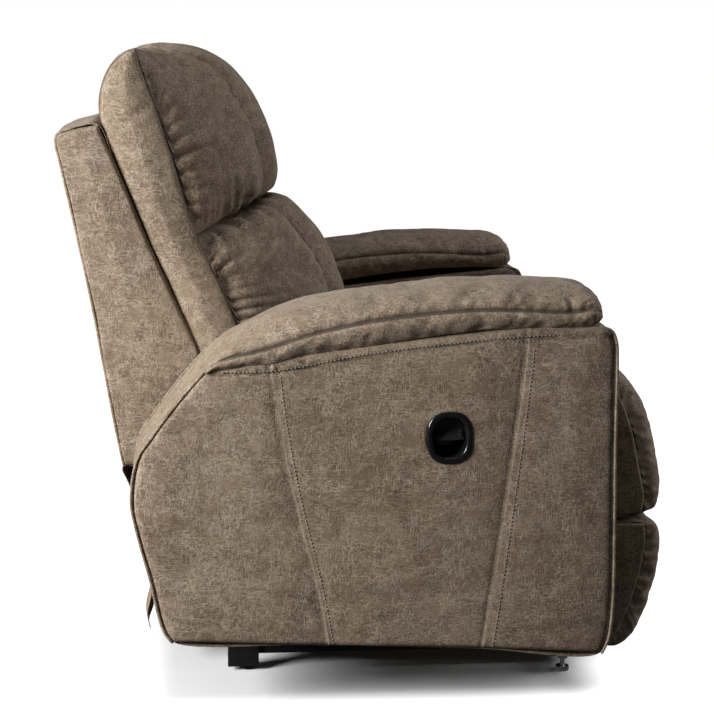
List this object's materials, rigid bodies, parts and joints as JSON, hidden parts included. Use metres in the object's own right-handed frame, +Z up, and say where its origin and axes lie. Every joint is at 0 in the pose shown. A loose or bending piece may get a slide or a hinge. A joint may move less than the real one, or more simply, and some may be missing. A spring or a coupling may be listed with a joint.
{
  "type": "recliner armchair",
  "caption": "Upholstered wall-saver recliner armchair with padded arms, channelled back, cable-released folding legrest and tilting back.",
  "frame": {"origin": "centre of the whole chair's footprint box, on the floor", "axes": "+X towards the chair's front, +Y towards the sitter's left, +Z up"},
  "size_m": [0.9914, 0.937, 1.0352],
  "materials": {
    "suede_fabric": "distressed suede-look cloth, taupe, matt",
    "frame_wood": "sawn plywood and hardwood, unfinished",
    "black_steel": "black powder coat, satin",
    "zinc": "zinc plated",
    "spring_steel": "oiled spring wire",
    "black_plastic": "moulded, semi-gloss"
  },
  "bodies": {
    "base": {"base_rail_right": "black_steel", "base_rail_left": "black_steel", "crossbar_front": "black_steel", "crossbar_rear": "black_steel", "roller_bracket_right": "black_steel", "roller_bracket_left": "black_steel", "foot_nut_right": "zinc", "foot_nut_left": "zinc", "arm_tie_right": "black_steel", "arm_tie_left": "black_steel", "arm_cover_right": "suede_fabric", "arm_cover_left": "suede_fabric", "arm_board_right": "frame_wood", "arm_board_left": "frame_wood", "arm_pad_right": "suede_fabric", "arm_pad_left": "suede_fabric", "release_cup": "black_plastic", "release_cable": "black_plastic", "latch_bracket": "black_steel", "rear_stretcher": "frame_wood", "rear_skirt": "suede_fabric"},
    "release_lever": {"release_lever": "black_plastic"},
    "roller_right": {"roller_wheel_right": "black_plastic"},
    "foot_right": {"levelling_foot_right": "black_steel"},
    "roller_left": {"roller_wheel_left": "black_plastic"},
    "foot_left": {"levelling_foot_left": "black_steel"},
    "swing_rear_right": {"swing_link_rear_right": "black_steel"},
    "swing_front_right": {"swing_link_front_right": "black_steel"},
    "swing_rear_left": {"swing_link_rear_left": "black_steel"},
    "swing_front_left": {"swing_link_front_left": "black_steel"},
    "seat": {"seat_plate_right": "black_steel", "seat_plate_left": "black_steel", "seat_rail_right": "frame_wood", "seat_rail_left": "frame_wood", "seat_rail_front": "frame_wood", "seat_rail_rear": "frame_wood", "seat_spring_a": "spring_steel", "seat_spring_b": "spring_steel", "seat_spring_c": "spring_steel", "seat_cushion": "suede_fabric"},
    "back": {"back_shell": "suede_fabric", "back_frame": "frame_wood", "back_bracket_right": "black_steel", "back_bracket_left": "black_steel", "lumbar_cushion": "suede_fabric", "head_cushion": "suede_fabric"},
    "crank_right": {"legrest_crank_right": "black_steel", "drive_tube": "black_steel"},
    "crank_left": {"legrest_crank_left": "black_steel"},
    "twin_crank_right": {"legrest_twin_crank_right": "black_steel"},
    "carrier_right": {"legrest_carrier_right": "black_steel"},
    "control_link_right": {"legrest_control_link_right": "black_steel"},
    "twin_crank_left": {"legrest_twin_crank_left": "black_steel"},
    "carrier_left": {"legrest_carrier_left": "black_steel"},
    "control_link_left": {"legrest_control_link_left": "black_steel"},
    "legrest": {"legrest_bracket_right": "black_steel", "legrest_bracket_left": "black_steel", "legrest_board": "frame_wood", "legrest_pad_upper": "suede_fabric", "legrest_pad_lower": "suede_fabric"}
  },
  "joints": [
    {"name": "seat_swing", "type": "hinge", "parent": "base", "child": "swing_rear_right", "pos_m": [-0.11, -0.252, 0.072], "axis": [0, 1, 0], "range_deg": [0, 50]},
    {"name": "seat_on_links", "type": "hinge", "parent": "swing_rear_right", "child": "seat", "pos_m": [-0.16071, -0.252, 0.18076], "axis": [0, 1, 0], "range_deg": [-50, 0]},
    {"name": "swing_rear_left", "type": "hinge", "parent": "base", "child": "swing_rear_left", "pos_m": [-0.11, 0.252, 0.072], "axis": [0, 1, 0], "range_deg": [0, 50]},
    {"name": "swing_front_right", "type": "hinge", "parent": "base", "child": "swing_front_right", "pos_m": [0.13, -0.252, 0.072], "axis": [0, 1, 0], "range_deg": [0, 50]},
    {"name": "swing_front_left", "type": "hinge", "parent": "base", "child": "swing_front_left", "pos_m": [0.13, 0.252, 0.072], "axis": [0, 1, 0], "range_deg": [0, 50]},
    {"name": "back_recline", "type": "hinge", "parent": "seat", "child": "back", "pos_m": [-0.22, -0.237, 0.33], "axis": [0, -1, 0], "range_deg": [0, 30]},
    {"name": "legrest_extend", "type": "hinge", "parent": "seat", "child": "crank_right", "pos_m": [0.21809, -0.237, 0.32988], "axis": [0, -1, 0], "range_deg": [0, 73]},
    {"name": "carrier_knee_right", "type": "hinge", "parent": "crank_right", "child": "carrier_right", "pos_m": [0.16973, -0.2295, 0.12039], "axis": [0, -1, 0], "range_deg": [-73, 0]},
    {"name": "legrest_tilt", "type": "hinge", "parent": "carrier_right", "child": "legrest", "pos_m": [0.368, -0.222, 0.285], "axis": [0, -1, 0], "range_deg": [0, 85.1]},
    {"name": "crank_left_turn", "type": "hinge", "parent": "seat", "child": "crank_left", "pos_m": [0.21809, 0.237, 0.32988], "axis": [0, -1, 0], "range_deg": [0, 73]},
    {"name": "carrier_knee_left", "type": "hinge", "parent": "crank_left", "child": "carrier_left", "pos_m": [0.16973, 0.2295, 0.12039], "axis": [0, -1, 0], "range_deg": [-73, 0]},
    {"name": "twin_crank_right_turn", "type": "hinge", "parent": "seat", "child": "twin_crank_right", "pos_m": [0.17962, -0.237, 0.29794], "axis": [0, -1, 0], "range_deg": [0, 73]},
    {"name": "control_link_right_turn", "type": "hinge", "parent": "crank_right", "child": "control_link_right", "pos_m": [0.18322, -0.2295, 0.17885], "axis": [0, -1, 0], "range_deg": [-73, 0]},
    {"name": "twin_crank_left_turn", "type": "hinge", "parent": "seat", "child": "twin_crank_left", "pos_m": [0.17962, 0.237, 0.29794], "axis": [0, -1, 0], "range_deg": [0, 73]},
    {"name": "control_link_left_turn", "type": "hinge", "parent": "crank_left", "child": "control_link_left", "pos_m": [0.18322, 0.2295, 0.17885], "axis": [0, -1, 0], "range_deg": [-73, 0]},
    {"name": "lever_pull", "type": "hinge", "parent": "base", "child": "release_lever", "pos_m": [0.107, -0.45, 0.455], "axis": [-1, 0, 0], "range_deg": [0, 25], "stiffness_Nm_per_rad": 0.5},
    {"name": "roller_right_spin", "type": "hinge", "parent": "base", "child": "roller_right", "pos_m": [-0.195, -0.2595, 0.0125], "axis": [0, 1, 0], "continuous": true},
    {"name": "foot_right_screw", "type": "slide", "parent": "base", "child": "foot_right", "axis": [0, 0, -1], "range_m": [0, 0.012]},
    {"name": "roller_left_spin", "type": "hinge", "parent": "base", "child": "roller_left", "pos_m": [-0.195, 0.2595, 0.0125], "axis": [0, 1, 0], "continuous": true},
    {"name": "foot_left_screw", "type": "slide", "parent": "base", "child": "foot_left", "axis": [0, 0, -1], "range_m": [0, 0.012]}
  ],
  "couplings": [
    {"joint": "seat_on_links", "follows": "seat_swing", "ratio": -1},
    {"joint": "swing_rear_left", "follows": "seat_swing", "ratio": 1},
    {"joint": "swing_front_right", "follows": "seat_swing", "ratio": 1},
    {"joint": "swing_front_left", "follows": "seat_swing", "ratio": 1},
    {"joint": "back_recline", "follows": "seat_swing", "ratio": 0.6},
    {"joint": "carrier_knee_right", "follows": "legrest_extend", "ratio": -1},
    {"joint": "legrest_tilt", "follows": "legrest_extend", "ratio": 1.1644},
    {"joint": "crank_left_turn", "follows": "legrest_extend", "ratio": 1},
    {"joint": "carrier_knee_left", "follows": "legrest_extend", "ratio": -1},
    {"joint": "twin_crank_right_turn", "follows": "legrest_extend", "ratio": 1},
    {"joint": "control_link_right_turn", "follows": "legrest_extend", "ratio": -1},
    {"joint": "twin_crank_left_turn", "follows": "legrest_extend", "ratio": 1},
    {"joint": "control_link_left_turn", "follows": "legrest_extend", "ratio": -1}
  ]
}
